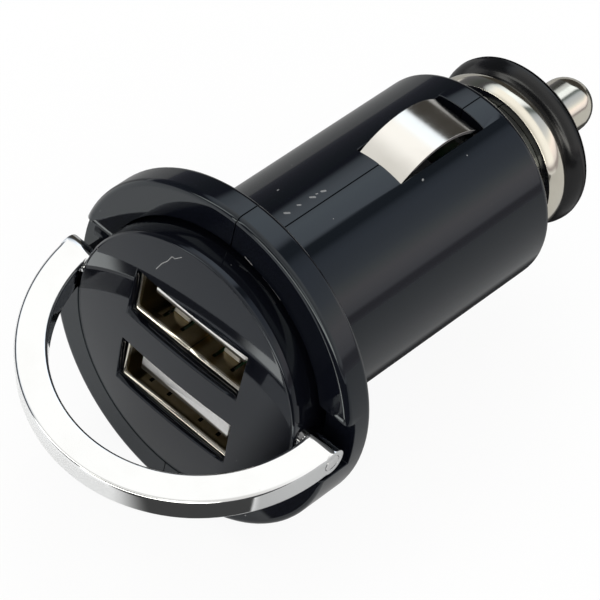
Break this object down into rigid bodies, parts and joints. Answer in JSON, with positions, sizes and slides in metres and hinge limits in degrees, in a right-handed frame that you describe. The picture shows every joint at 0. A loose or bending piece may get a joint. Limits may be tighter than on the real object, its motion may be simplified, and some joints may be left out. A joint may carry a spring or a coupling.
{
  "type": "car usb charger plug",
  "caption": "Compact car socket charger with USB-A ports in a domed face, leaf contacts, a sprung tip and a folding half-ring pull handle.",
  "frame": {"origin": "on the plug axis at the back face of the head, where the barrel starts", "axes": "+Y along the plug axis towards the sprung tip, +X along the handle's hinge line, +Z towards the side where the handle stows"},
  "size_m": [0.0324, 0.0689, 0.0324],
  "materials": {
    "housing": "gloss",
    "face": "gloss",
    "chrome": "polished",
    "pin_steel": "polished",
    "nickel": "satin",
    "nickel_ring": "polished",
    "cap": "gloss",
    "nickel_tip": "polished",
    "spring_steel": "satin",
    "tin_plate": "satin",
    "board": "satin",
    "port_metal": "polished",
    "tongue": "satin",
    "gold": "polished",
    "ferrite": "matte",
    "can": "gloss",
    "epoxy": "matte"
  },
  "bodies": {
    "body": {"left_shell": "housing", "right_shell": "housing", "face_plate": "face", "left_hinge_pin": "pin_steel", "right_hinge_pin": "pin_steel", "nose_ring": "nickel_ring", "nose_cap": "cap", "tip_spring": "spring_steel", "spring_plate": "tin_plate", "circuit_board": "board", "upper_port_shell": "port_metal", "lower_port_shell": "port_metal", "upper_port_tongue": "tongue", "lower_port_tongue": "tongue", "upper_port_pins": "gold", "lower_port_pins": "gold", "upper_ground_strip": "tin_plate", "lower_ground_strip": "tin_plate", "choke": "ferrite", "input_capacitor": "can", "output_capacitor": "can", "regulator_chip": "epoxy", "diode": "epoxy"},
    "handle": {"pull_handle": "chrome"},
    "tip": {"contact_tip": "nickel_tip"},
    "top_leaf": {"top_contact": "nickel"},
    "bottom_leaf": {"bottom_contact": "nickel"}
  },
  "joints": [
    {"name": "handle_hinge", "type": "hinge", "parent": "body", "child": "handle", "pos_m": [0, -0.0046, 0.0004], "axis": [-1, 0, 0], "range_deg": [0, 103.7]},
    {"name": "tip_travel", "type": "slide", "parent": "body", "child": "tip", "axis": [0, -1, 0], "range_m": [0, 0.003], "stiffness_N_per_m": 900, "springref_m": -0.002, "deforming": ["tip_spring"]},
    {"name": "top_contact_give", "type": "hinge", "parent": "body", "child": "top_leaf", "pos_m": [0, 0.01657, 0.00917], "axis": [-1, 0, 0], "range_deg": [0, 20], "stiffness_Nm_per_rad": 0.12, "springref_deg": -5.73},
    {"name": "bottom_contact_give", "type": "hinge", "parent": "body", "child": "bottom_leaf", "pos_m": [0, 0.01657, -0.00917], "axis": [1, 0, 0], "range_deg": [0, 20], "stiffness_Nm_per_rad": 0.12, "springref_deg": -5.73}
  ]
}
